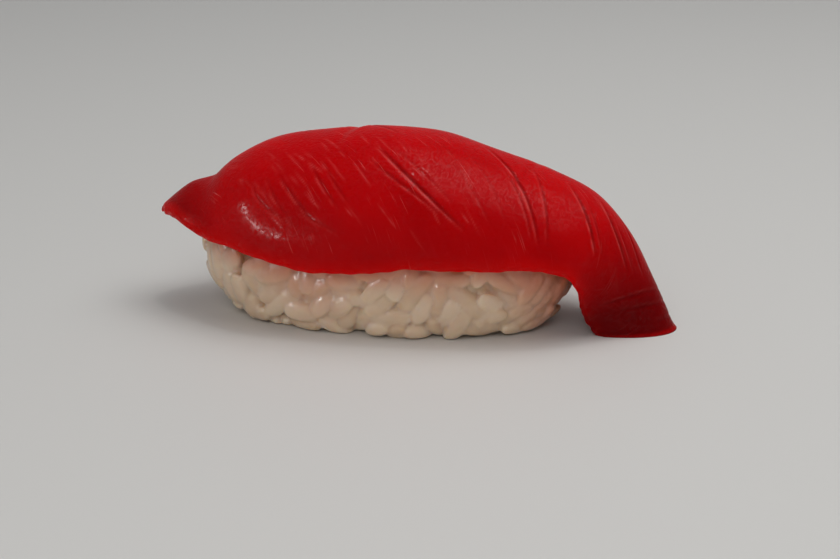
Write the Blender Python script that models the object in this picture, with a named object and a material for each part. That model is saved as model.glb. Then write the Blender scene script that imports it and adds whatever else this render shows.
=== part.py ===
"""Tuna nigiri: one slice of raw tuna draped over a hand-pressed block of sushi rice.

Metres, +Z up. The block's flat base lies on z = 0 with the origin at its middle. The long way of the sushi is
X: the slice's free tip points to -X and its tail hangs down to the table at +X. -Y is the front.
"""

import math
import random
from collections import namedtuple

import bmesh
import bpy
from mathutils import Vector
from mathutils.bvhtree import BVHTree

MM = 0.001

# The slice is laid over ribs, as planks are laid on a hull. Each rib is an arch that hangs from a point (x, z)
# of the crest, the line along the top of the slice. Its half width and height are those of the arch, and front
# and back are how far the slice reaches down it each way, along the curve. Lean tips the arch over towards the
# tail, from upright at 0 to lying flat at 90. Sizes are in millimetres, angles in degrees.
Rib = namedtuple("Rib", "x z half_width height front back thickness lean")
RIBS = (
    Rib(-35.0, 15.2, 6.0, 7.0, 1.6, 1.6, 1.0, 0),
    Rib(-31.0, 18.5, 7.6, 8.5, 7.8, 7.6, 1.9, 0),
    Rib(-27.3, 19.9, 9.6, 10.5, 11.8, 11.8, 2.6, 0),
    Rib(-23.5, 23.0, 11.6, 12.0, 16.4, 15.5, 3.8, 0),
    Rib(-17.5, 26.1, 13.8, 13.6, 22.1, 19.5, 4.8, 0),
    Rib(-9.0, 27.7, 15.0, 14.4, 25.9, 22.5, 5.2, 0),
    Rib(-0.5, 28.4, 15.4, 14.6, 26.3, 22.5, 5.4, 0),
    Rib(7.0, 28.0, 15.2, 14.4, 24.9, 22.5, 5.4, 0),
    Rib(14.5, 25.9, 14.6, 13.8, 22.6, 21.5, 5.2, 0),
    Rib(22.5, 23.3, 13.2, 12.8, 18.9, 20.5, 4.8, 3),
    Rib(30.0, 20.0, 11.2, 11.2, 16.0, 18.5, 4.2, 17),
    Rib(35.0, 15.2, 9.3, 10.0, 14.6, 15.5, 3.8, 40),
    Rib(38.9, 8.3, 7.2, 9.5, 13.8, 13.2, 3.2, 66),
    Rib(42.8, 0.0, 5.4, 9.0, 13.6, 13.0, 2.6, 90),
)
EDGE_THICKNESS = 1.5 * MM
TAPER = 2.4
NUDGE = 0.002
SLICE_SEGMENTS_ALONG = 50
SLICE_SEGMENTS_ACROSS = 18

# The rice block is a boat: its sides flare from a flat base up to a belly, and close in a dome under the
# slice.
BASE_LENGTH = 46.6 * MM
BASE_WIDTH = 23.2 * MM
BELLY_LENGTH = 57.2 * MM
BELLY_WIDTH = 27.2 * MM
BELLY_HEIGHT = 10.5 * MM
DOME_HEIGHT = 24.0 * MM
PLAN_ROUNDNESS = 2.2
FLARE_ROUNDNESS = 1.5
DOME_ROUNDNESS = 2.1
RICE_TO_SLICE_GAP = 0.35 * MM

# The block's mesh is rings round the vertical axis: a few across the base, close ones up the side that
# shows, and a few over the dome.
RICE_SEGMENTS = 120
BASE_RINGS = (0.45, 0.85)
SIDE_RINGS = 14
SIDE_TOP = 14.0 * MM
DOME_RINGS = 8

GRAIN_LENGTH = 7.4 * MM
GRAIN_WIDTH = 3.2 * MM
GRAIN_RELIEF = 1.0 * MM
GRAINS_ON_SIDE = 190
GRAIN_SEED = 8
STEP_BACK = 0.05 * MM


def clear_scene():
    for obj in list(bpy.data.objects):
        bpy.data.objects.remove(obj)


def material(name, colour, roughness, subsurface_mm):
    made = bpy.data.materials.new(name)
    made.use_nodes = True
    shader = made.node_tree.nodes["Principled BSDF"]
    shader.inputs["Base Color"].default_value = (*colour, 1.0)
    shader.inputs["Roughness"].default_value = roughness
    shader.inputs["Metallic"].default_value = 0.0
    shader.inputs["Subsurface Weight"].default_value = 1.0
    shader.inputs["Subsurface Scale"].default_value = subsurface_mm * MM
    return made


def add_object(name, bm, finish):
    bmesh.ops.recalc_face_normals(bm, faces=bm.faces)
    mesh = bpy.data.meshes.new(name)
    bm.to_mesh(mesh)
    bm.free()
    mesh.shade_smooth()
    mesh.materials.append(finish)
    obj = bpy.data.objects.new(name, mesh)
    bpy.context.scene.collection.objects.link(obj)
    return obj


def rib_at(share):
    """The rib at a share from 0 to 1 of the way along, on a smooth curve through the stated ribs."""
    place = min(max(share, 0.0), 1.0) * (len(RIBS) - 1)
    index = min(int(place), len(RIBS) - 2)
    f = place - index
    before = RIBS[max(index - 1, 0)]
    start = RIBS[index]
    end = RIBS[index + 1]
    after = RIBS[min(index + 2, len(RIBS) - 1)]
    sizes = [
        0.5 * (2 * b + (c - a) * f + (2 * a - 5 * b + 4 * c - d) * f**2 + (3 * b - a - 3 * c + d) * f**3)
        for a, b, c, d in zip(before, start, end, after)
    ]
    return Rib(*sizes)


def hang_of(rib):
    """The direction in which a rib's arch hangs down from its crest."""
    lean = math.radians(rib.lean)
    return Vector((-math.sin(lean), 0.0, -math.cos(lean)))


def upper_point(share, side):
    """A point of the upper face: share runs from tip to tail, side from -1 at the front to 1 at the back."""
    rib = rib_at(share)
    reach = abs(side) * (rib.front if side < 0 else rib.back)
    quarter = (rib.half_width + rib.height) / 2 * math.pi / 2
    turn = min(reach / quarter, 1.0) * math.pi / 2
    out = math.copysign(rib.half_width * math.sin(turn), side)
    down = rib.height * (1 - math.cos(turn)) + max(reach - quarter, 0.0)
    return MM * (Vector((rib.x, out, rib.z)) + down * hang_of(rib))


def slice_point(share, side, depth):
    """The same, with depth from 0 on the upper face to 1 on the underside, in the plane of the rib."""
    along = upper_point(min(share + NUDGE, 1.0), side) - upper_point(max(share - NUDGE, 0.0), side)
    across = upper_point(share, min(side + NUDGE, 1.0)) - upper_point(share, max(side - NUDGE, -1.0))
    normal = along.cross(across).normalized()
    rib = rib_at(share)
    rib_normal = Vector((0.0, 1.0, 0.0)).cross(hang_of(rib))
    inward = across.cross(rib_normal).normalized()
    if inward.dot(normal) > 0:
        inward.negate()
    middle = rib.thickness * MM
    edge = min(EDGE_THICKNESS, middle)
    thickness = edge + (middle - edge) * (1 - abs(side) ** TAPER)
    return upper_point(share, side) + depth * thickness / abs(inward.dot(normal)) * inward


def tuna_slice(finish):
    """A flat slab, x from 0 to 1, y from -1 to 1 and z from 0 to -1, bent to the ribs."""
    bm = bmesh.new()
    bmesh.ops.create_grid(bm, x_segments=SLICE_SEGMENTS_ALONG, y_segments=SLICE_SEGMENTS_ACROSS, size=1.0)
    for vert in bm.verts:
        vert.co.x = (vert.co.x + 1) / 2
    grown = bmesh.ops.extrude_face_region(bm, geom=bm.faces[:], use_keep_orig=True)
    for item in grown["geom"]:
        if isinstance(item, bmesh.types.BMVert):
            item.co.z = -1.0
    for vert in bm.verts:
        vert.co = slice_point(vert.co.x, vert.co.y, -vert.co.z)
    return add_object("tuna_slice", bm, finish)


def plan_size(z):
    """Half length and half width of the rice block at height z."""
    if z < BELLY_HEIGHT:
        rise = z / BELLY_HEIGHT
        flare = (1 - (1 - rise) ** FLARE_ROUNDNESS) ** (1 / FLARE_ROUNDNESS)
        length = BASE_LENGTH + (BELLY_LENGTH - BASE_LENGTH) * flare
        width = BASE_WIDTH + (BELLY_WIDTH - BASE_WIDTH) * flare
    else:
        rise = (z - BELLY_HEIGHT) / (DOME_HEIGHT - BELLY_HEIGHT)
        close = max(1 - rise**DOME_ROUNDNESS, 0.0) ** (1 / DOME_ROUNDNESS)
        length = BELLY_LENGTH * close
        width = BELLY_WIDTH * close
    return length / 2, width / 2


def block_point(turn, z, share=1.0):
    """A point of the smooth block: turn is the angle round the vertical axis, share how far out from it."""
    half_length, half_width = plan_size(z)
    x = math.copysign(abs(math.cos(turn)) ** (2 / PLAN_ROUNDNESS), math.cos(turn))
    y = math.copysign(abs(math.sin(turn)) ** (2 / PLAN_ROUNDNESS), math.sin(turn))
    return Vector((share * half_length * x, share * half_width * y, z))


def grain_bumps():
    """Places, long axes and cross axes of the grains that roughen the side of the block."""
    rng = random.Random(GRAIN_SEED)
    golden = (math.sqrt(5) - 1) / 2
    bumps = []
    for i in range(GRAINS_ON_SIDE):
        turn = 2 * math.pi * ((i * golden) % 1.0)
        z = (i + 0.5) / GRAINS_ON_SIDE * SIDE_TOP
        place = block_point(turn, z)
        along = (block_point(turn + NUDGE, z) - place).normalized()
        up = (block_point(turn, z + NUDGE * DOME_HEIGHT) - place).normalized()
        slant = rng.uniform(0, math.pi)
        long_axis = along * math.cos(slant) + up * math.sin(slant)
        cross_axis = up * math.cos(slant) - along * math.sin(slant)
        bumps.append((place, long_axis, cross_axis))
    return bumps


def relief_at(point, bumps):
    """From 0 in a crevice to 1 on the back of a grain."""
    best = 0.0
    for place, long_axis, cross_axis in bumps:
        offset = point - place
        if offset.length < GRAIN_LENGTH / 2:
            a = offset.dot(long_axis) / (GRAIN_LENGTH / 2)
            b = offset.dot(cross_axis) / (GRAIN_WIDTH / 2)
            best = max(best, 1 - a * a - b * b)
    return math.sqrt(best)


def ring_places():
    """Height and share of the radius of each ring of the block's mesh, from the base to the top."""
    rings = [(0.0, share) for share in BASE_RINGS]
    rings += [(SIDE_TOP * i / SIDE_RINGS, 1.0) for i in range(SIDE_RINGS)]
    for i in range(DOME_RINGS):
        climb = math.sin(math.pi / 2 * i / DOME_RINGS)
        rings.append((SIDE_TOP + (DOME_HEIGHT - SIDE_TOP) * climb, 1.0))
    return rings


def rice_block(slice_object, finish):
    """A ball whose rings are moved out to the boat, roughened by grains, and held back under the slice."""
    rings = ring_places()
    bm = bmesh.new()
    bmesh.ops.create_uvsphere(bm, u_segments=RICE_SEGMENTS, v_segments=len(rings) + 1, radius=1.0)
    bumps = grain_bumps()
    slice_tree = BVHTree.FromPolygons(
        [v.co for v in slice_object.data.vertices], [p.vertices for p in slice_object.data.polygons]
    )
    axis = Vector((0.0, 0.0, BELLY_HEIGHT))
    for vert in bm.verts:
        ring = round(math.acos(-vert.co.z) / math.pi * (len(rings) + 1)) - 1
        if ring < 0:
            vert.co = (0.0, 0.0, 0.0)
            continue
        if ring == len(rings):
            place = Vector((0.0, 0.0, DOME_HEIGHT))
        else:
            z, share = rings[ring]
            place = block_point(math.atan2(vert.co.y, vert.co.x), z, share)
            if share == 1.0:
                inward = Vector((-place.x, -place.y, 0.0)).normalized()
                place += inward * GRAIN_RELIEF * (1 - relief_at(place, bumps))
        outward = (place - axis).normalized()
        while (
            slice_tree.find_nearest(place)[3] < RICE_TO_SLICE_GAP
            or slice_tree.ray_cast(axis, outward, (place - axis).length)[0]
        ):
            place -= outward * STEP_BACK
        vert.co = place
    return add_object("rice_block", bm, finish)


clear_scene()
tuna_finish = material("raw_tuna", (0.36, 0.006, 0.010), 0.30, 2.0)
rice_finish = material("cooked_rice", (0.72, 0.66, 0.56), 0.35, 1.2)
draped = tuna_slice(tuna_finish)
rice_block(draped, rice_finish)
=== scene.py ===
"""Tuna nigiri: a slice of raw tuna draped over a hand-pressed block of sushi rice.

The looks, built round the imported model. Metres, +Z up, -Y the front. The slice's free tip points to -X
and its tail hangs to the table at +X.
"""

import math
import random

import bmesh
import bpy
import numpy as np
from mathutils import Matrix, Vector, noise
from mathutils.bvhtree import BVHTree
from mathutils.kdtree import KDTree


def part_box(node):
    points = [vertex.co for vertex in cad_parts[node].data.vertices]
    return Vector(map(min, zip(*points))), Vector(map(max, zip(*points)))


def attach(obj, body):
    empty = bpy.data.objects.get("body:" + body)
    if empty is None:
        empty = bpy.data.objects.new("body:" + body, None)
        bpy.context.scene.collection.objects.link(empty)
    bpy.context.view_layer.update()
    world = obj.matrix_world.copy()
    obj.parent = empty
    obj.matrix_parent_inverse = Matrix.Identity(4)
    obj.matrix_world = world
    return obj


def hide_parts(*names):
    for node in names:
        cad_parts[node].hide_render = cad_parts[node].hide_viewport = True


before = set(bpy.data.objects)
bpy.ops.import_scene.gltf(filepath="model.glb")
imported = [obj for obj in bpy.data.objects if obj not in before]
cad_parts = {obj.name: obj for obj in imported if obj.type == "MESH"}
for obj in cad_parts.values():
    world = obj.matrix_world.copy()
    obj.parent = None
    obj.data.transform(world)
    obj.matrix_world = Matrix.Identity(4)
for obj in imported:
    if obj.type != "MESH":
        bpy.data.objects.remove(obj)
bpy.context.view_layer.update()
MM = 0.001


# The middle of the rice block: cooked rice pressed together in the hand, of which only a little shows
# between the outer grains. It is a ball whose rings are moved out to the boat shape of the block, some way
# inside its outline and clear of the slice that lies on it.
block_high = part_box("rice_block")[1]
BELLY_HALF_LENGTH = block_high.x
BELLY_HALF_WIDTH = block_high.y
BELLY_HEIGHT = 10.5 * MM
BASE_TO_BELLY_LENGTH = 0.815
BASE_TO_BELLY_WIDTH = 0.853
DOME_HEIGHT = 24.0 * MM
PLAN_ROUNDNESS = 2.2
FLARE_ROUNDNESS = 1.5
DOME_ROUNDNESS = 2.1
RICE_TO_SLICE_GAP = 0.3 * MM
PULL_BACK = 0.05
CORE_INSET = 2.6 * MM
FORM_SEGMENTS = 96
FORM_RINGS = 34
BASE_RINGS = 5

slice_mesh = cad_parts["tuna_slice"].data
slice_tree = BVHTree.FromPolygons(
    [vert.co for vert in slice_mesh.vertices], [face.vertices for face in slice_mesh.polygons]
)


def plan_size(z):
    """Half length and half width of the block's smooth outline at height z."""
    if z < BELLY_HEIGHT:
        rise = z / BELLY_HEIGHT
        flare = (1 - (1 - rise) ** FLARE_ROUNDNESS) ** (1 / FLARE_ROUNDNESS)
        return (
            BELLY_HALF_LENGTH * (BASE_TO_BELLY_LENGTH + (1 - BASE_TO_BELLY_LENGTH) * flare),
            BELLY_HALF_WIDTH * (BASE_TO_BELLY_WIDTH + (1 - BASE_TO_BELLY_WIDTH) * flare),
        )
    rise = (z - BELLY_HEIGHT) / (DOME_HEIGHT - BELLY_HEIGHT)
    close = max(1 - rise**DOME_ROUNDNESS, 0.0) ** (1 / DOME_ROUNDNESS)
    return BELLY_HALF_LENGTH * close, BELLY_HALF_WIDTH * close


def rice_form(inset):
    """The block's smooth shape as a bmesh, a distance inside its outline and the slice's underside.

    The places of the grains hang on its last digits, so its sums keep their order.
    """
    bm = bmesh.new()
    bmesh.ops.create_uvsphere(bm, u_segments=FORM_SEGMENTS, v_segments=FORM_RINGS + 1, radius=1.0)
    axis = Vector((0.0, 0.0, BELLY_HEIGHT))
    for vert in bm.verts:
        ring = round(math.acos(max(-1.0, min(1.0, -vert.co.z))) / math.pi * (FORM_RINGS + 1))
        share = min(ring / BASE_RINGS, 1.0)
        climb = max(ring - BASE_RINGS, 0) / (FORM_RINGS + 1 - BASE_RINGS)
        z = DOME_HEIGHT * climb
        half_length, half_width = plan_size(z)
        turn = math.atan2(vert.co.y, vert.co.x)
        x = math.copysign(abs(math.cos(turn)) ** (2 / PLAN_ROUNDNESS), math.cos(turn))
        y = math.copysign(abs(math.sin(turn)) ** (2 / PLAN_ROUNDNESS), math.sin(turn))
        place = Vector((
            share * x * max(half_length - inset, 0.0),
            share * y * max(half_width - inset, 0.0),
            inset + z * (DOME_HEIGHT - 2 * inset) / DOME_HEIGHT,
        ))
        outward = (place - axis).normalized()
        while (
            slice_tree.find_nearest(place)[3] < RICE_TO_SLICE_GAP + inset
            or slice_tree.ray_cast(axis, outward, (place - axis).length)[0]
        ):
            place -= outward * PULL_BACK * MM
        vert.co = place
    bmesh.ops.recalc_face_normals(bm, faces=bm.faces)
    bm.verts.index_update()
    return bm


def face_corners(bm):
    """Each face's corner numbers, sorted, because a new sphere's faces come in another order each run."""
    faces = []
    for face in bm.faces:
        corners = [vert.index for vert in face.verts]
        first = corners.index(min(corners))
        faces.append(corners[first:] + corners[:first])
    return sorted(faces)


def add_piece(name, mesh, finish, node):
    """A finished piece: it rides on the one body, stands for a CAD node and takes its finish from a slot."""
    mesh.shade_smooth()
    mesh.materials.append(finish)
    piece = bpy.data.objects.new(name, mesh)
    bpy.context.scene.collection.objects.link(piece)
    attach(piece, "root")
    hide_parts(node)
    return piece


def linear(hex_colour):
    """The linear colour of an sRGB hex value."""
    channels = [int(hex_colour[i : i + 2], 16) / 255 for i in (1, 3, 5)]
    return (*[c / 12.92 if c <= 0.04045 else ((c + 0.055) / 1.055) ** 2.4 for c in channels], 1.0)


def add_node(tree, kind, settings=(), links=()):
    """Adds a shader node, with values for its sockets or properties and outputs linked to its sockets."""
    made = tree.nodes.new("ShaderNode" + kind)
    for key, value in dict(settings).items():
        if isinstance(key, str) and key not in made.inputs:
            setattr(made, key, value)
        else:
            made.inputs[key].default_value = value
    for key, output in dict(links).items():
        tree.links.new(output, made.inputs[key])
    return made


def new_material(name):
    """An empty node material and its output node."""
    made = bpy.data.materials.new(name)
    made.use_nodes = True
    made.node_tree.nodes.clear()
    return made, add_node(made.node_tree, "OutputMaterial")


# Cooked short-grain rice, seasoned and hand-pressed: swollen starch that lets light a millimetre or so into
# it, so that grains look milky and soft, under a thin sticky film that gives small glints. Next to the slice,
# and most near its tail, a painted red tint stands for the red light that comes through the fish and the
# shade under it. The seams between the grains are painted a little darker as shade, and each grain is a
# little warmer or paler than the next.
RICE_LIGHT = "#EAD3B9"
RICE_WARM = "#D0AA84"
RICE_SLICE_RED_LIGHT = "#D06E4C"
RICE_SEAM_SHADE = "#B98F6C"
RICE_SEAM_SHADE_SHARE = 0.12
RICE_PORE = 0.45 * MM
RICE_DIMPLE = 1.6 * MM
RICE_MOTTLE = 2.4 * MM
LIGHT_DEPTH = 1.2 * MM
TINTED_END_START = 15.0 * MM
TINTED_END_LENGTH = 11.0 * MM
TINT_REACH = 2.9
TINT_REACH_SPREAD = 3.2
TINT_REACH_AT_END = 4.5
TINT_PATCH = 9 * MM
TINT_SHARE = 0.8
TINT_SHARE_AT_END = 0.2


def steamed_rice():
    made, output = new_material("steamed_short_grain_rice")
    tree = made.node_tree
    place = add_node(tree, "TexCoord").outputs["Object"]
    mottle = add_node(tree, "TexNoise", {"Scale": 1 / RICE_MOTTLE, "Detail": 2.0}, {"Vector": place})
    tone = add_node(tree, "Attribute", {"attribute_name": "tone"})
    slice_red_light = add_node(tree, "Attribute", {"attribute_name": "slice_red_light"})
    warmth = add_node(
        tree, "Math", {"operation": "MULTIPLY"}, {0: mottle.outputs["Fac"], 1: tone.outputs["Fac"]}
    )
    body = add_node(
        tree,
        "Mix",
        {"data_type": "RGBA", 6: linear(RICE_LIGHT), 7: linear(RICE_WARM)},
        {0: warmth.outputs[0]},
    )
    # Painted red light and shade from the slice, laid over the rice's own colour.
    tinted = add_node(
        tree,
        "Mix",
        {"data_type": "RGBA", 7: linear(RICE_SLICE_RED_LIGHT)},
        {0: slice_red_light.outputs["Fac"], 6: body.outputs[2]},
    )
    # Painted shade: the seams between the grains are coloured a little darker.
    seam = add_node(tree, "Attribute", {"attribute_name": "seam"})
    seam_shade_share = add_node(
        tree, "Math", {"operation": "MULTIPLY", 1: RICE_SEAM_SHADE_SHARE}, {0: seam.outputs["Fac"]}
    )
    seam_shaded = add_node(
        tree,
        "Mix",
        {"data_type": "RGBA", 7: linear(RICE_SEAM_SHADE)},
        {0: seam_shade_share.outputs[0], 6: tinted.outputs[2]},
    )
    pores = add_node(tree, "TexNoise", {"Scale": 1 / RICE_PORE, "Detail": 3.0}, {"Vector": place})
    dimples = add_node(tree, "TexNoise", {"Scale": 1 / RICE_DIMPLE, "Detail": 1.0}, {"Vector": place})
    waves = add_node(
        tree, "Bump", {"Strength": 0.7, "Distance": 0.3 * MM}, {"Height": dimples.outputs["Fac"]}
    )
    skin = add_node(
        tree,
        "Bump",
        {"Strength": 0.35, "Distance": 0.05 * MM},
        {"Height": pores.outputs["Fac"], "Normal": waves.outputs["Normal"]},
    )
    shader = add_node(
        tree,
        "BsdfPrincipled",
        {
            "Roughness": 0.36,
            "IOR": 1.40,
            "Subsurface Weight": 1.0,
            "Subsurface Radius": (1.0, 0.78, 0.5),
            "Subsurface Scale": LIGHT_DEPTH,
            "Coat Weight": 0.45,
            "Coat Roughness": 0.12,
            "Coat IOR": 1.38,
        },
        {"Base Color": seam_shaded.outputs[2], "Normal": skin.outputs["Normal"]},
    )
    tree.links.new(shader.outputs[0], output.inputs["Surface"])
    return made


def add_point_values(mesh, name, values):
    """Keeps one number for each point of a mesh, for its material to read."""
    kept = mesh.attributes.new(name, "FLOAT", "POINT")
    kept.data.foreach_set("value", np.asarray(values, np.float32))


def slice_red_light_at(place):
    """How much painted red light and shade from the slice the rice takes, from 0 to 1: most right under the
    slice and near the tail.
    """
    tailwards = min(max((place.x - TINTED_END_START) / TINTED_END_LENGTH, 0.0), 1.0)
    patchy = TINT_REACH_SPREAD * noise.noise(place / TINT_PATCH)
    reach = (TINT_REACH + patchy + TINT_REACH_AT_END * tailwards) * MM
    near = slice_tree.find_nearest(place)[3] / max(reach, 1.0 * MM)
    return (TINT_SHARE + TINT_SHARE_AT_END * tailwards) * math.exp(-(near**1.5))


core_form = rice_form(CORE_INSET)
core_mesh = bpy.data.meshes.new("rice_core")
core_form.to_mesh(core_mesh)
core_form.free()


# The grains: plump cooked short-grain rice, 6 to 8 mm long and 3 mm wide, wet and squeezed together by the
# hand until they stick. They start at random on two layers inside the outline and push one another apart as
# chains of balls. The palm then flattens what stands out, and starch joins the grains where they touch.
GRAIN_HALF_LENGTH = (2.9 * MM, 3.9 * MM)
GRAIN_HALF_WIDTH = (1.50 * MM, 1.85 * MM)
GRAIN_HALF_THICKNESS = (1.30 * MM, 1.60 * MM)
GRAIN_SEED = 11
LAYER_INSETS = (1.15 * MM, 2.6 * MM)
GRAIN_AREAS = (11.0 * MM**2, 18.0 * MM**2)
BALLS = 4
PRESS = 0.75
ROUNDS = 120
ROUNDS_BETWEEN_PAIRINGS = 10
NEAR = 9.0 * MM
SINK = 0.50 * MM
LEAN = 0.32
BEND = 0.10
UNEVEN_ENDS = 0.08
BLUNTNESS = (0.9, 0.9, 0.94)
PALM_GIVE = 0.35
GRAIN_SEGMENTS = 8
GRAIN_RINGS = 7
CAGE_SWELL = 1.07
STARCH = 0.28 * MM
SEAM_DEPTH = 0.14 * MM
SEAM_WIDTH = 0.26 * MM
SEAM_PATCH = 5.0 * MM
OPEN_SEAMS = 0.42
SEAM_CONTRAST = 1.4
NEIGHBOURS = 10


def scatter(bm, area_each, rng):
    """Random points on a surface, one for each area_each of it."""
    places = [vert.co.copy() for vert in bm.verts]
    triangles = []
    for corners in face_corners(bm):
        for i in range(1, len(corners) - 1):
            triangles.append((places[corners[0]], places[corners[i]], places[corners[i + 1]]))
    areas = np.array([(b - a).cross(c - a).length / 2 for a, b, c in triangles])
    count = round(areas.sum() / area_each)
    picks = rng.choice(len(triangles), size=count, p=areas / areas.sum())
    points = []
    for pick in picks:
        u, v = rng.random(2)
        if u + v > 1:
            u, v = 1 - u, 1 - v
        a, b, c = triangles[pick]
        points.append(a + (b - a) * u + (c - a) * v)
    return np.array(points)


def unit(vectors):
    return vectors / np.linalg.norm(vectors, axis=-1, keepdims=True)


rng = np.random.default_rng(GRAIN_SEED)
layer_trees = []
centres = []
layers = []
for layer, (inset, area_each) in enumerate(zip(LAYER_INSETS, GRAIN_AREAS)):
    form = rice_form(inset)
    points = scatter(form, area_each, rng)
    layer_trees.append(BVHTree.FromPolygons([vert.co for vert in form.verts], face_corners(form)))
    form.free()
    centres.append(points)
    layers += [layer] * len(points)
centres = np.concatenate(centres)
count = len(centres)
aims = unit(rng.normal(size=(count, 3)))
leans = rng.normal(scale=LEAN, size=count)
sinks = rng.normal(scale=SINK, size=count)
half_lengths = rng.uniform(*GRAIN_HALF_LENGTH, count)
half_widths = rng.uniform(*GRAIN_HALF_WIDTH, count)
half_thicknesses = rng.uniform(*GRAIN_HALF_THICKNESS, count)
normals = np.zeros((count, 3))


def hold_to_layers():
    """Puts each grain's middle back on its layer and lays it along the surface, but for its small lean."""
    for i in range(count):
        found = layer_trees[layers[i]].find_nearest(Vector(centres[i]))
        centres[i] = found[0]
        normals[i] = found[1]
    flat = aims - normals * (aims * normals).sum(1, keepdims=True)
    aims[:] = unit(unit(flat) + normals * leans[:, None])


def near_pairs():
    gaps = np.linalg.norm(centres[:, None] - centres[None], axis=2)
    return np.nonzero(np.triu(gaps < NEAR, 1))


steps = np.linspace(-1, 1, BALLS)
hold_to_layers()
for turn in range(ROUNDS):
    if turn % ROUNDS_BETWEEN_PAIRINGS == 0:
        first, second = near_pairs()
    radii = 0.5 * (half_widths + half_thicknesses)
    spread = half_lengths - radii
    balls = centres[:, None] + aims[:, None] * (spread[:, None] * steps)[..., None]
    between = balls[first][:, :, None] - balls[second][:, None]
    gaps = np.linalg.norm(between, axis=3) + 1e-9
    overlap = np.maximum(PRESS * (radii[first] + radii[second])[:, None, None] - gaps, 0)
    push = (0.25 * overlap / gaps)[..., None] * between
    moved = np.zeros_like(balls)
    np.add.at(moved, first, push.sum(2))
    np.add.at(moved, second, -push.sum(1))
    balls += moved
    centres[:] = balls.mean(1)
    aims[:] = unit(balls[:, -1] - balls[:, 0])
    hold_to_layers()

sides = unit(np.cross(normals, aims))
ups = np.cross(aims, sides)
frames = np.stack([sides, ups, aims], axis=1)
sizes = np.stack([half_widths, half_thicknesses, half_lengths], axis=1)

template_bm = bmesh.new()
bmesh.ops.create_uvsphere(template_bm, u_segments=GRAIN_SEGMENTS, v_segments=GRAIN_RINGS, radius=1.0)
template = bpy.data.meshes.new("grain_template")
template_bm.to_mesh(template)
template_bm.free()
ball = np.array([vert.co for vert in template.vertices])
plump = np.sign(ball) * np.abs(ball) ** np.array(BLUNTNESS)
bend = rng.normal(scale=BEND, size=count)
taper = rng.normal(scale=UNEVEN_ENDS, size=count)
local = plump[None] * sizes[:, None] * CAGE_SWELL
along = local[:, :, 2] / half_lengths[:, None]
local[:, :, :2] *= (1 + taper[:, None] * along)[..., None]
local[:, :, 0] += bend[:, None] * half_lengths[:, None] * (along**2 - 0.4)
sunk_by = normals * sinks[:, None]
shells = centres[:, None] + np.einsum("gvk,gkd->gvd", local, frames) - sunk_by[:, None]

# The palm has pressed the outermost grains nearly level with the block's outline, and none goes below the
# table.
outline = rice_form(0.0)
outline_tree = BVHTree.FromPolygons([vert.co for vert in outline.verts], face_corners(outline))
outline.free()
points = shells.reshape(-1, 3)
for i, point in enumerate(points):
    found, direction, _, _ = outline_tree.find_nearest(Vector(point))
    above = (Vector(point) - found).dot(direction)
    if above > 0:
        points[i] = found + direction * above * PALM_GIVE
points[:, 2] = np.maximum(points[:, 2], 0.0)

loose_bm = bmesh.new()
for _ in range(count):
    loose_bm.from_mesh(template)
for vert, point in zip(loose_bm.verts, points):
    vert.co = point
loose_bm.from_mesh(core_mesh)
loose_mesh = bpy.data.meshes.new("loose_grains")
loose_bm.to_mesh(loose_mesh)
loose_bm.free()
loose = bpy.data.objects.new("loose_grains", loose_mesh)
bpy.context.scene.collection.objects.link(loose)
rounding = loose.modifiers.new("rounding", "SUBSURF")
rounding.levels = 2
rounding.render_levels = 2
sticking = loose.modifiers.new("sticking", "REMESH")
sticking.mode = "VOXEL"
sticking.voxel_size = STARCH
softening = loose.modifiers.new("softening", "SMOOTH")
softening.factor = 0.5
softening.iterations = 1
fused = loose.evaluated_get(bpy.context.evaluated_depsgraph_get())
grains_mesh = bpy.data.meshes.new_from_object(fused)
grains_mesh.name = "rice_grains"
bpy.data.objects.remove(loose)

# Each point of the joined grains takes the tone of the grain that it lies on, and sinks a little along the
# seam where a second grain is as near; there the material also paints a little shade. The seams are clear
# in some patches and closed in others.
surface = np.empty(len(grains_mesh.vertices) * 3)
grains_mesh.vertices.foreach_get("co", surface)
surface = surface.reshape(-1, 3)
facing = np.empty(len(grains_mesh.vertices) * 3)
grains_mesh.vertices.foreach_get("normal", facing)
facing = facing.reshape(-1, 3)
sunk = centres - sunk_by
middles = KDTree(count)
for i, centre in enumerate(sunk):
    middles.insert(centre, i)
middles.balance()
near = np.array([[found[1] for found in middles.find_n(point, NEIGHBOURS)] for point in surface])
along = np.einsum("pnd,pnd->pn", surface[:, None] - sunk[near], aims[near])
along = np.clip(along, -spread[near], spread[near])
from_spine = surface[:, None] - sunk[near] - aims[near] * along[..., None]
heights = np.linalg.norm(from_spine, axis=2) - radii[near]
order = np.argsort(heights, axis=1)
nearest = np.take_along_axis(near, order, axis=1)[:, 0]
heights = np.take_along_axis(heights, order, axis=1)
seam = np.exp(-(((heights[:, 1] - heights[:, 0]) / SEAM_WIDTH) ** 2))
seam *= np.array([
    min(max(OPEN_SEAMS + SEAM_CONTRAST * noise.noise(Vector(point) / SEAM_PATCH), 0), 1) for point in surface
])
surface -= facing * (SEAM_DEPTH * seam)[:, None]
surface[:, 2] = np.maximum(surface[:, 2], 0.0)
grains_mesh.vertices.foreach_set("co", surface.ravel())
add_point_values(grains_mesh, "tone", rng.random(count)[nearest])
add_point_values(grains_mesh, "seam", seam)
# Painted red light and shade from the slice: most right under it and near the tail.
add_point_values(grains_mesh, "slice_red_light", [slice_red_light_at(vert.co) for vert in grains_mesh.vertices])
add_piece("rice_grains", grains_mesh, steamed_rice(), "rice_block")


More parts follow.
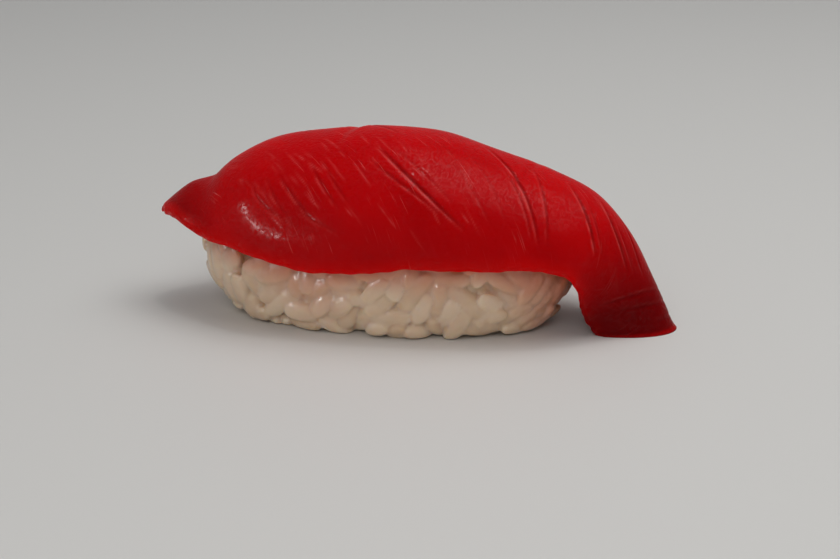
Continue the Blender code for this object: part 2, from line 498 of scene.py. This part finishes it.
# The slice: raw lean tuna cut across the block of fish, about 94 mm along its crest, 5 mm thick in the middle
# and thin at the edges. It is a fine slab bent over the same ribs as the solid, with a rounded rim, with the
# creases between the layers of muscle and with the knife's small marks. Its sizes are in millimetres.
EDGE_THICKNESS = 1.5
TAPER = 2.4
NUDGE = 0.002
END_MARGIN = 0.006
SEGMENTS_ALONG = 420
SEGMENTS_ACROSS = 170
KEPT_SHARE = 0.57
RIM_CUTS = 4
RIM_WAVES = ((0.35, 5.0), (0.20, 2.0))
ROUNDED_TIP = 1.1
CREST_STEPS = 400
SWELL = 0.15
SWELL_LENGTH = 7.0
FLAT_TIP = 7.0
TAIL_LIP = 0.3
TAIL_LIP_LENGTH = 1.6
CALM_EDGE = 0.8
CALM_TIP = 1.5
CREASE_STEPS = 26
CREASE_MARGIN = 3.0
RIDGE = 0.24
FULL_CREASE = 0.24
WIDEST_SHADED_CREASE = 0.5
BROKEN_LIP = 1.7
TURNED_ROUND = 92.0
REPEATED = (15.0, 66.5)
BACK_DEPTH = 0.8
MARK_SEED = 5
MARKS = 110
MARKED_LENGTH = (13, 62, 24)
MARKED_FALL = (3, 21)
MARK_HALF_LENGTH = (0.5, 1.9)
MARK_SLOPE = (0.9, 1.5)
MARK_DEPTH = (-0.07, 0.10)
MARK_WIDTH = 0.20
MARK_LIP_HIGHLIGHT = (0.2, 0.7)
SLANT = 1.15
SLANT_EASE = 0.018
GLOWING_RIM = 1.8
DULL_TAIL_SIDES = 0.85
DULL_FROM, DULL_FADE = 70, 12
FLAP_END, FLAP_FADE = 13.0, 7.0
TAIL_START, TAIL_FADE = 73.0, 15.0

# Its ribs: crest x and z, arch half width and height, reach to the front edge and to the back one, and
# thickness, all in millimetres, and the lean towards the tail in degrees.
RIBS = np.array((
    (-35.0, 15.2, 6.0, 7.0, 1.6, 1.6, 1.0, 0),
    (-31.0, 18.5, 7.6, 8.5, 7.8, 7.6, 1.9, 0),
    (-27.3, 19.9, 9.6, 10.5, 11.8, 11.8, 2.6, 0),
    (-23.5, 23.0, 11.6, 12.0, 16.4, 15.5, 3.8, 0),
    (-17.5, 26.1, 13.8, 13.6, 22.1, 19.5, 4.8, 0),
    (-9.0, 27.7, 15.0, 14.4, 25.9, 22.5, 5.2, 0),
    (-0.5, 28.4, 15.4, 14.6, 26.3, 22.5, 5.4, 0),
    (7.0, 28.0, 15.2, 14.4, 24.9, 22.5, 5.4, 0),
    (14.5, 25.9, 14.6, 13.8, 22.6, 21.5, 5.2, 0),
    (22.5, 23.3, 13.2, 12.8, 18.9, 20.5, 4.8, 3),
    (30.0, 20.0, 11.2, 11.2, 16.0, 18.5, 4.2, 17),
    (35.0, 15.2, 9.3, 10.0, 14.6, 15.5, 3.8, 40),
    (38.9, 8.3, 7.2, 9.5, 13.8, 13.2, 3.2, 66),
    (42.8, 0.0, 5.4, 9.0, 13.6, 13.0, 2.6, 90),
))

# The creases, as (distance from the tip along the crest, distance down the front face) at their start, middle
# and end, with depth and half width, all in millimetres. The wide ones dent the crest, and the tail's run
# across it. Those of the middle are repeated on the back, turned half round.
CREASES = (
    ((9.4, -5.0), (9.5, -0.5), (9.9, 4.0), 0.16, 0.9),
    ((19.6, 11.0), (21.7, 14.8), (27.0, 19.2), 0.10, 0.22),
    ((21.6, 10.5), (23.6, 14.6), (26.5, 18.5), 0.08, 0.20),
    ((23.4, 10.2), (26.0, 14.2), (30.5, 19.5), 0.13, 0.22),
    ((27.9, 8.6), (30.0, 12.5), (33.0, 16.8), 0.12, 0.22),
    ((29.8, 9.0), (32.4, 13.2), (34.5, 16.0), 0.10, 0.20),
    ((27.0, 16.6), (30.2, 18.8), (33.5, 20.8), 0.08, 0.22),
    ((34.0, -9.0), (32.2, -1.9), (31.5, 5.0), 0.40, 0.9),
    ((37.5, 6.0), (44.5, 12.9), (51.5, 17.2), 0.30, 0.27),
    ((37.0, 8.9), (42.2, 13.0), (49.5, 17.0), 0.14, 0.22),
    ((40.2, 6.6), (45.6, 11.0), (50.0, 14.2), 0.09, 0.20),
    ((48.0, 6.0), (52.0, 10.5), (55.5, 15.0), 0.06, 0.22),
    ((51.0, 4.0), (55.0, 9.0), (57.8, 14.0), 0.06, 0.22),
    ((52.5, -1.5), (59.0, 6.5), (63.2, 14.5), 0.28, 0.26),
    ((56.2, 4.4), (59.6, 9.4), (61.9, 14.2), 0.13, 0.22),
    ((60.5, 1.5), (63.2, 8.0), (64.8, 14.0), 0.16, 0.25),
    ((66.0, 1.0), (70.8, 7.0), (74.6, 9.8), 0.25, 0.26),
    ((69.3, 3.2), (72.5, 6.7), (75.5, 8.6), 0.10, 0.22),
    ((71.5, 0.5), (76.0, 4.2), (81.5, 5.8), 0.24, 0.26),
    ((75.4, 2.4), (78.6, 4.0), (82.6, 4.7), 0.12, 0.22),
    ((74.5, -2.0), (79.0, 1.5), (84.0, 3.0), 0.20, 0.25),
    ((84.8, 11.5), (85.8, 6.5), (88.0, -2.0), 0.18, 0.26),
    ((87.3, 9.8), (88.6, 4.5), (90.0, -3.0), 0.17, 0.26),
    ((91.2, 6.0), (91.8, 1.0), (92.0, -5.0), 0.14, 0.26),
)


def ribs_at(share):
    """The rib sizes at shares from 0 at the tip to 1 at the tail, on a smooth curve through the ribs."""
    place = np.clip(share, 0, 1) * (len(RIBS) - 1)
    index = np.minimum(place.astype(int), len(RIBS) - 2)
    f = (place - index)[:, None]
    a, b, c, d = (RIBS[np.clip(index + step, 0, len(RIBS) - 1)] for step in (-1, 0, 1, 2))
    square, cube = (2 * a - 5 * b + 4 * c - d) * f**2, (3 * b - a - 3 * c + d) * f**3
    return (0.5 * (2 * b + (c - a) * f + square + cube)).T


def hang_of(lean):
    """The direction in which a rib's arch hangs down from its crest."""
    turn = np.radians(lean)
    return np.stack([-np.sin(turn), np.zeros_like(turn), -np.cos(turn)], axis=1)


def upper_points(share, side):
    """Points of the upper face, in millimetres; side runs from -1 at the front edge to 1 at the back."""
    x, z, half_width, height, front, back, _, lean = ribs_at(share)
    reach = np.abs(side) * np.where(side < 0, front, back)
    quarter = (half_width + height) / 2 * math.pi / 2
    turn = np.minimum(reach / quarter, 1.0) * math.pi / 2
    out = np.copysign(half_width * np.sin(turn), side)
    down = height * (1 - np.cos(turn)) + np.maximum(reach - quarter, 0.0)
    return np.stack([x, out, z], axis=1) + down[:, None] * hang_of(lean)


def smooth_noise(points, size):
    return np.array([noise.noise(Vector(point) / size) for point in points])


def crease_shape(s, t, crease):
    """One crease at distances s along and t down the face: its relief, its painted lip highlight and cleft
    shade.
    """
    start, middle, end, depth, width = crease
    steps = np.linspace(0, 1, CREASE_STEPS)
    bend_s = 2 * middle[0] - (start[0] + end[0]) / 2
    bend_t = 2 * middle[1] - (start[1] + end[1]) / 2
    line_s = (1 - steps) ** 2 * start[0] + 2 * steps * (1 - steps) * bend_s + steps**2 * end[0]
    line_t = (1 - steps) ** 2 * start[1] + 2 * steps * (1 - steps) * bend_t + steps**2 * end[1]
    relief, lip_highlight, cleft_shade = np.zeros((3, len(s)))
    beside_s = (s > line_s.min() - CREASE_MARGIN) & (s < line_s.max() + CREASE_MARGIN)
    beside_t = (t > line_t.min() - CREASE_MARGIN) & (t < line_t.max() + CREASE_MARGIN)
    near = np.nonzero(beside_s & beside_t)[0]
    run_s, run_t = np.diff(line_s), np.diff(line_t)
    from_s, from_t = s[near, None] - line_s[:-1], t[near, None] - line_t[:-1]
    along = np.clip((from_s * run_s + from_t * run_t) / (run_s**2 + run_t**2), 0, 1)
    gaps = np.hypot(from_s - along * run_s, from_t - along * run_t)
    closest = gaps.argmin(1)
    pick = np.arange(len(near)), closest
    gap_s = (from_s - along * run_s)[pick]
    away = gaps[pick] / width
    share = (closest + along[pick]) / len(run_s)
    tipwards = 1 / (1 + np.exp(4 * gap_s / width))
    fade = np.sin(math.pi * np.clip(share, 0.02, 0.98)) ** 0.6
    relief[near] = depth * fade * (RIDGE * np.exp(-((away / 2.4) ** 2)) - np.exp(-(away**2)))
    lip_highlight[near] = fade * np.exp(-((away - 1.1) ** 2) / 0.5) * tipwards
    cleft_shade[near] = fade * np.exp(-((away - 0.5) ** 2)) * (1 - tipwards)
    return relief, lip_highlight, cleft_shade


slab = bmesh.new()
bmesh.ops.create_grid(slab, x_segments=SEGMENTS_ALONG, y_segments=SEGMENTS_ACROSS, size=1.0)
for vert in slab.verts:
    vert.co.x = (vert.co.x + 1) / 2
bmesh.ops.extrude_face_region(slab, geom=slab.faces[:], use_keep_orig=True)
for vert in slab.verts:
    vert.co.z = 0.0
top_verts = set(slab.verts[: (SEGMENTS_ALONG + 1) * (SEGMENTS_ACROSS + 1)])
for vert in slab.verts:
    if vert not in top_verts:
        vert.co.z = -1.0
rim_edges = [edge for edge in slab.edges if abs(edge.verts[0].co.z - edge.verts[1].co.z) > 0.5]
bmesh.ops.subdivide_edges(slab, edges=rim_edges, cuts=RIM_CUTS)
tuna_mesh = bpy.data.meshes.new("tuna_slice_raw")
bmesh.ops.recalc_face_normals(slab, faces=slab.faces)
slab.to_mesh(tuna_mesh)
slab.free()

flat = np.empty(len(tuna_mesh.vertices) * 3)
tuna_mesh.vertices.foreach_get("co", flat)
share, side, down = flat.reshape(-1, 3).T
depth = -down
*_, front, back, middle_thickness, lean = ribs_at(share)
full_reach = np.where(side < 0, front, back)
crest_steps = np.linspace(0, 1, CREST_STEPS)
crest = upper_points(crest_steps, np.zeros(CREST_STEPS))
crest_lengths = np.concatenate([[0], np.cumsum(np.linalg.norm(np.diff(crest, axis=0), axis=1))])
s = np.interp(share, crest_steps, crest_lengths)
t = -side * full_reach

# The rim: rounded between the two faces, a little wavy, and full at the cut end of the tail.
on_rim = np.sqrt(np.maximum(1 - (2 * depth - 1) ** 2, 0))
edge_thickness = np.minimum(EDGE_THICKNESS, middle_thickness)
round_mm = 0.5 * edge_thickness
wave = 0.0
for height_mm, length_mm in RIM_WAVES:
    wave += height_mm * smooth_noise(np.stack([s, 20 * np.sign(side), np.zeros_like(s)], axis=1), length_mm)
side_in = side * (1 - (round_mm * 0.8 - wave * np.abs(side) ** 4) / np.maximum(full_reach, 4))
side_in *= np.maximum(np.sqrt(np.clip(1 - (1 - s / ROUNDED_TIP) ** 2, 0, 1)), 0.15) ** (s < ROUNDED_TIP)
share_in = END_MARGIN + share * (1 - END_MARGIN)
base = upper_points(share_in, side_in)
along = upper_points(np.minimum(share_in + NUDGE, 1), side_in)
along -= upper_points(np.maximum(share_in - NUDGE, 0), side_in)
across = upper_points(share_in, np.minimum(side_in + NUDGE, 1))
across -= upper_points(share_in, np.maximum(side_in - NUDGE, -1))
normal = unit(np.cross(along, across))
rib_normal = np.cross(np.array([0.0, 1.0, 0.0]), hang_of(lean))
inward = unit(np.cross(across, rib_normal))
inward *= -np.sign((inward * normal).sum(1, keepdims=True))
thickness = edge_thickness + (middle_thickness - edge_thickness) * (1 - np.abs(side) ** TAPER)
slant = np.abs((inward * normal).sum(1))
place = base + inward * (depth * thickness / slant)[:, None]
between_faces = (depth > 0.001) & (depth < 0.999)
at_side = (np.abs(side) > 0.9999) & between_faces
at_tip = (share < 0.0001) & between_faces
bulge = (round_mm * on_rim)[:, None]
place += np.where(at_side[:, None], unit(across) * np.sign(side)[:, None] * bulge, 0)
place += np.where(at_tip[:, None], -unit(along) * bulge, 0)

# The upper face: a soft swelling, the creases with painted highlights on their lips and painted shade in
# their clefts, the knife's short marks with painted highlights on their lips, and the cut end that turns up a
# little. All of it fades out at the rim.
relief = SWELL * smooth_noise(np.stack([s, t, np.full_like(s, 3.0)], axis=1), SWELL_LENGTH)
relief *= np.clip((s - FLAT_TIP) / SWELL_LENGTH, 0, 1)
lip_highlights, cleft_shades = np.zeros((2, len(s)))
for crease in CREASES:
    start, middle, end, deep, width = crease
    behind = [(TURNED_ROUND - point[0], -point[1]) for point in (start, middle, end)]
    both = [crease, (*behind, BACK_DEPTH * deep, width)] if REPEATED[0] < start[0] < REPEATED[1] else [crease]
    for each in both:
        pressed, lip_highlight, cleft_shade = crease_shape(s, t, each)
        relief += pressed
        if width < WIDEST_SHADED_CREASE:
            lip_highlights = np.maximum(lip_highlights, lip_highlight * min(deep / FULL_CREASE, 1.0))
            cleft_shades = np.maximum(cleft_shades, cleft_shade * min(deep / FULL_CREASE, 1.0))
marks = random.Random(MARK_SEED)
for _ in range(MARKS):
    at_s = marks.triangular(*MARKED_LENGTH)
    at_t = marks.choice((-1, 1)) * marks.uniform(*MARKED_FALL)
    long = marks.uniform(*MARK_HALF_LENGTH)
    slope = marks.uniform(*MARK_SLOPE)
    ends = [(at_s + k * long, at_t + k * long * slope) for k in (-1, 0, 1)]
    pressed, lip_highlight, _ = crease_shape(s, t, (*ends, marks.uniform(*MARK_DEPTH), MARK_WIDTH))
    relief += pressed
    lip_highlights = np.maximum(lip_highlights, lip_highlight * marks.uniform(*MARK_LIP_HIGHLIGHT))
breaks = smooth_noise(np.stack([s, t, np.full_like(s, 7.0)], axis=1), BROKEN_LIP)
lip_highlights *= np.clip(0.65 + 1.5 * breaks, 0.1, 1)
to_foot = crest_lengths[-1] - s
relief += TAIL_LIP * np.clip((TAIL_LIP_LENGTH - to_foot) / TAIL_LIP_LENGTH, 0, 1) ** 2
calm = np.clip((1 - np.abs(side)) * full_reach / CALM_EDGE, 0, 1) * np.clip(s / CALM_TIP, 0, 1)
place -= inward * (relief * calm * (1 - depth))[:, None]
place[:, 2] = np.maximum(place[:, 2], 0.0)
tuna_mesh.vertices.foreach_set("co", (place * MM).ravel())

# The muscle's own directions, in millimetres: across the creases and along them. The creases slant down the
# face towards the tail, and steepen on the way. Then the shares of painted colour: a painted glow where light
# shines through the thin rim and the ends, painted shade on the free tip and on the tail, and the painted
# highlights and shades of the creases.
fibre = tuna_mesh.uv_layers.new(name="muscle")
corner_points = np.empty(len(tuna_mesh.loops), np.int32)
tuna_mesh.loops.foreach_get("vertex_index", corner_points)
across_muscle = s - SLANT * t + SLANT_EASE * t * np.abs(t)
muscle_places = np.stack([across_muscle, t], axis=1)[corner_points]
fibre.data.foreach_set("uv", muscle_places.astype(np.float32).ravel())
side_glow = np.clip(1 - (1 - np.abs(side)) * full_reach / GLOWING_RIM, 0, 1)
side_glow *= 1 - DULL_TAIL_SIDES * np.clip((s - DULL_FROM) / DULL_FADE, 0, 1)
end_glow = np.clip(1 - np.minimum(s, 2 * to_foot) / GLOWING_RIM, 0, 1)
add_point_values(tuna_mesh, "rim_glow", np.maximum(side_glow, end_glow))
add_point_values(tuna_mesh, "flap_shade", np.clip((FLAP_END - s) / FLAP_FADE, 0, 1))
add_point_values(tuna_mesh, "tail_shade", np.clip((s - TAIL_START) / TAIL_FADE, 0, 1))
add_point_values(tuna_mesh, "lip_highlight", lip_highlights)
add_point_values(tuna_mesh, "cleft_shade", cleft_shades)

# The underside lies on the rice, so most of its points are taken out again. The shaped upper face keeps its
# own.
slab_object = bpy.data.objects.new("slab", tuna_mesh)
bpy.context.scene.collection.objects.link(slab_object)
underside = slab_object.vertex_groups.new(name="underside")
underside.add([int(i) for i in np.nonzero(depth > 0.999)[0]], 1.0, "REPLACE")
thinning = slab_object.modifiers.new("thinning", "DECIMATE")
thinning.ratio = KEPT_SHARE
thinning.vertex_group = underside.name
thinned = slab_object.evaluated_get(bpy.context.evaluated_depsgraph_get())
tuna_mesh = bpy.data.meshes.new_from_object(thinned)
tuna_mesh.name = "tuna_slice_raw"
bpy.data.objects.remove(slab_object)


# Raw lean tuna: wet red muscle that lets red light several millimetres into it, so thin edges glow and
# shadows stay red. Fine fibres run along the creases, pale sinew shows as thin lines, and a film of moisture
# gives a broad sheen broken by a fine pebbled grain.
TUNA_DEEP = "#B80409"
TUNA_BRIGHT = "#C4060B"
TUNA_SINEW = "#D02028"
TUNA_PALE_FIBRE_AND_LIP_HIGHLIGHT = "#E05A58"
RED_LIGHT_DEPTH = 2.4 * MM
FIBRE_WIDTH = 0.32
FIBRE_LENGTH = 6.0
SINEW_SPACING = 3.5
SINEW_LENGTH = 14.0
CLOUD = 11.0
HAIR_PATCH = 8.0
PEBBLE = 0.5 * MM

# What is painted from place to place, each laid over the ones before it: an attribute, its greatest share and
# its colour. They are the painted highlight on the lip of a crease and the painted shade in its cleft,
# painted shade on the tail and on the free tip, and a painted glow on the rim where light shines through.
TUNA_TINTS = (
    ("lip_highlight", 0.7, TUNA_PALE_FIBRE_AND_LIP_HIGHLIGHT),
    ("cleft_shade", 0.6, "#5A0103"),
    ("tail_shade", 0.85, "#5E0103"),
    ("flap_shade", 0.8, "#8A0608"),
    ("rim_glow", 0.7, "#D00A0A"),
)


def raw_tuna():
    made, output = new_material("raw_lean_tuna")
    tree = made.node_tree
    muscle = add_node(tree, "UVMap", {"uv_map": "muscle"}).outputs["UV"]
    place = add_node(tree, "TexCoord").outputs["Object"]

    clouds = add_node(tree, "TexNoise", {"Scale": 1 / CLOUD, "Detail": 3.0}, {"Vector": muscle})
    light_share = add_node(
        tree, "MapRange", {"From Min": 0.35, "From Max": 0.68}, {"Value": clouds.outputs["Fac"]}
    )
    meat = add_node(
        tree,
        "Mix",
        {"data_type": "RGBA", 6: linear(TUNA_DEEP), 7: linear(TUNA_BRIGHT)},
        {0: light_share.outputs["Result"]},
    )

    # Sinew: thin pale lines along the muscle.
    banded = add_node(
        tree, "Mapping", {"Scale": (1 / SINEW_SPACING, 1 / SINEW_LENGTH, 1.0)}, {"Vector": muscle}
    )
    bands = add_node(
        tree, "TexNoise", {"Scale": 1.0, "Detail": 5.0, "Roughness": 0.6}, {"Vector": banded.outputs[0]}
    )
    sinew_share = add_node(
        tree,
        "MapRange",
        {"From Min": 0.62, "From Max": 0.80, "To Max": 0.35},
        {"Value": bands.outputs["Fac"]},
    )
    lined = add_node(
        tree,
        "Mix",
        {"data_type": "RGBA", 7: linear(TUNA_SINEW)},
        {0: sinew_share.outputs["Result"], 6: meat.outputs[2]},
    )

    # Fibres: finer strokes, paler than the meat and slightly raised, that show only in patches.
    stretched = add_node(
        tree, "Mapping", {"Scale": (1 / FIBRE_WIDTH, 1 / FIBRE_LENGTH, 1.0)}, {"Vector": muscle}
    )
    fibres = add_node(tree, "TexNoise", {"Scale": 1.0, "Detail": 2.0}, {"Vector": stretched.outputs[0]})
    patches = add_node(tree, "TexNoise", {"Scale": 1 / HAIR_PATCH, "Detail": 1.0}, {"Vector": muscle})
    patch_share = add_node(
        tree,
        "MapRange",
        {"From Min": 0.45, "From Max": 0.60, "To Max": 0.7},
        {"Value": patches.outputs["Fac"]},
    )
    stroke_share = add_node(
        tree, "MapRange", {"From Min": 0.63, "From Max": 0.74}, {"Value": fibres.outputs["Fac"]}
    )
    stroked_share = add_node(
        tree,
        "Math",
        {"operation": "MULTIPLY"},
        {0: patch_share.outputs["Result"], 1: stroke_share.outputs["Result"]},
    )
    colour = add_node(
        tree,
        "Mix",
        {"data_type": "RGBA", 7: linear(TUNA_PALE_FIBRE_AND_LIP_HIGHLIGHT)},
        {0: stroked_share.outputs[0], 6: lined.outputs[2]},
    )
    # Painted highlights, shades and glow, laid one over another.
    for attribute, greatest, tint in TUNA_TINTS:
        painted = add_node(tree, "Attribute", {"attribute_name": attribute})
        share = add_node(tree, "Math", {"operation": "MULTIPLY", 1: greatest}, {0: painted.outputs["Fac"]})
        colour = add_node(
            tree,
            "Mix",
            {"data_type": "RGBA", 7: linear(tint)},
            {0: share.outputs[0], 6: colour.outputs[2]},
        )

    # The surface: the fibres' fine ridges, and over them the pebbled grain, which is wettest on its tops.
    hairlines = add_node(
        tree,
        "MapRange",
        {"From Min": 0.56, "From Max": 0.72, "To Min": 1.0, "To Max": 0.0},
        {"Value": fibres.outputs["Fac"]},
    )
    hair_strength = add_node(
        tree,
        "MapRange",
        {"From Min": 0.42, "From Max": 0.60, "To Min": 0.1, "To Max": 0.7},
        {"Value": patches.outputs["Fac"]},
    )
    ridges = add_node(
        tree,
        "Bump",
        {"Distance": 0.05 * MM},
        {"Strength": hair_strength.outputs["Result"], "Height": hairlines.outputs["Result"]},
    )
    pebbles = add_node(tree, "TexNoise", {"Scale": 1 / PEBBLE, "Detail": 3.0}, {"Vector": place})
    skin = add_node(
        tree,
        "Bump",
        {"Strength": 1.0, "Distance": 0.12 * MM},
        {"Height": pebbles.outputs["Fac"], "Normal": ridges.outputs["Normal"]},
    )
    dampness = add_node(tree, "MapRange", {"To Min": 0.30, "To Max": 0.48}, {"Value": clouds.outputs["Fac"]})
    wetness = add_node(
        tree,
        "MapRange",
        {"From Min": 0.43, "From Max": 0.58, "To Min": 0.03, "To Max": 0.30},
        {"Value": pebbles.outputs["Fac"]},
    )
    shader = add_node(
        tree,
        "BsdfPrincipled",
        {
            "IOR": 1.38,
            "Specular IOR Level": 0.02,
            "Subsurface Weight": 1.0,
            "Subsurface Radius": (1.0, 0.12, 0.08),
            "Subsurface Scale": RED_LIGHT_DEPTH,
            "Coat Roughness": 0.15,
            "Coat IOR": 1.33,
        },
        {
            "Base Color": colour.outputs[2],
            "Roughness": dampness.outputs["Result"],
            "Coat Weight": wetness.outputs["Result"],
            "Normal": skin.outputs["Normal"],
        },
    )
    tree.links.new(shader.outputs[0], output.inputs["Surface"])
    return made


add_piece("tuna_slice_raw", tuna_mesh, raw_tuna(), "tuna_slice")


# The table: a plain pale sheet of matt laminate, far wider than the view, flat at the height on which the
# sushi rests. The fine grain of its resin scatters the light, so it mirrors nothing.
FLOOR_SIZE = 3.0
FLOOR_COLOUR = "#D9D7D3"


def matt_laminate():
    made, output = new_material("matt_laminate")
    tree = made.node_tree
    shader = add_node(tree, "BsdfPrincipled", {"Base Color": linear(FLOOR_COLOUR), "Roughness": 0.6})
    tree.links.new(shader.outputs[0], output.inputs["Surface"])
    return made


floor_bm = bmesh.new()
bmesh.ops.create_grid(floor_bm, x_segments=1, y_segments=1, size=FLOOR_SIZE / 2)
floor_mesh = bpy.data.meshes.new("table")
floor_bm.to_mesh(floor_mesh)
floor_bm.free()
floor_mesh.materials.append(matt_laminate())
table = bpy.data.objects.new("table", floor_mesh)
bpy.context.scene.collection.objects.link(table)


# Soft studio light: a wide lamp almost overhead, brightest in its middle, whose reflection is the sheen on
# the slice; a weak one in front that only fills the shade; a small one for the glints of moisture; a thin
# strip at the left that shows only as the bright streak there; and a weak even surround.
SLICE_TOP = (0.0, 0.0, 0.02)
SOFTBOX_PLACE = (0.15, 0.02, 0.44)
SOFTBOX_WIDTHS = (0.14, 0.24, 0.34, 0.44, 0.54)
SOFTBOX_GAP = 2 * MM
SOFTBOX_WATTS = 1.20
SPARK_PLACE = (0.02, -0.01, 0.47)
SPARK_WIDTH = 0.02
SPARK_WATTS = 0.10
FILL_PLACE = (0.0, -0.34, 0.27)
FILL_WIDTH = 0.20
FILL_WATTS = 0.26
STREAK_TOP = Vector((-0.260, -0.085, 0.148))
STREAK_FOOT = Vector((-0.155, -0.277, 0.026))
STREAK_TARGET = (-0.017, -0.013, 0.017)
STREAK_WIDTH = 0.004
STREAK_WATTS = 0.5
SURROUND_COLOUR = (0.95, 0.97, 1.0, 1.0)
SURROUND_STRENGTH = 0.25


def add_lamp(name, place, target, along, width, length, watts):
    """A rectangular lamp that faces the target, with its length turned towards along."""
    lamp = bpy.data.lights.new(name, "AREA")
    lamp.shape = "RECTANGLE"
    lamp.size = width
    lamp.size_y = length
    lamp.energy = watts
    obj = bpy.data.objects.new(name, lamp)
    back = (Vector(place) - Vector(target)).normalized()
    side = Vector(along).cross(back).normalized()
    turn = Matrix((side, back.cross(side), back)).transposed()
    obj.matrix_world = Matrix.Translation(place) @ turn.to_4x4()
    bpy.context.scene.collection.objects.link(obj)
    return obj


for ring, width in enumerate(SOFTBOX_WIDTHS):
    watts = SOFTBOX_WATTS * width**2 / sum(each**2 for each in SOFTBOX_WIDTHS)
    place = Vector(SOFTBOX_PLACE) + Vector((0, 0, ring * SOFTBOX_GAP))
    add_lamp(f"overhead_lamp_{ring}", place, SLICE_TOP, (0, 1, 0), width, width, watts)
add_lamp("spark_lamp", SPARK_PLACE, SLICE_TOP, (0, 1, 0), SPARK_WIDTH, SPARK_WIDTH, SPARK_WATTS)
fill_lamp = add_lamp("fill_lamp", FILL_PLACE, SLICE_TOP, (1, 0, 0), FILL_WIDTH, FILL_WIDTH, FILL_WATTS)
fill_lamp.visible_glossy = False
strip = STREAK_TOP - STREAK_FOOT
strip_middle = (STREAK_TOP + STREAK_FOOT) / 2
streak_lamp = add_lamp(
    "streak_lamp", strip_middle, STREAK_TARGET, strip, STREAK_WIDTH, strip.length, STREAK_WATTS
)
streak_lamp.visible_diffuse = False
world = bpy.data.worlds.new("studio")
world.use_nodes = True
world.node_tree.nodes["Background"].inputs["Color"].default_value = SURROUND_COLOUR
world.node_tree.nodes["Background"].inputs["Strength"].default_value = SURROUND_STRENGTH
bpy.context.scene.world = world
bpy.context.scene.view_settings.view_transform = "Standard"


# The camera: an 85 mm lens about 30 cm away, a little to the right of the front and looking down 19 degrees,
# with the whole sushi near the middle of the frame.
CAMERA_TARGET = Vector((0.0045, 0.0, 0.0053))
CAMERA_DISTANCE = 0.298
CAMERA_TURN = math.radians(10)
CAMERA_RISE = math.radians(19)
LENS = 85
SENSOR_WIDTH = 36
camera = bpy.data.objects.new("camera", bpy.data.cameras.new("camera"))
camera.data.lens = LENS
camera.data.sensor_width = SENSOR_WIDTH
camera.location = CAMERA_TARGET + CAMERA_DISTANCE * Vector((
    math.sin(CAMERA_TURN) * math.cos(CAMERA_RISE),
    -math.cos(CAMERA_TURN) * math.cos(CAMERA_RISE),
    math.sin(CAMERA_RISE),
))
camera.rotation_euler = (CAMERA_TARGET - camera.location).to_track_quat("-Z", "Y").to_euler()
bpy.context.scene.collection.objects.link(camera)
bpy.context.scene.camera = camera
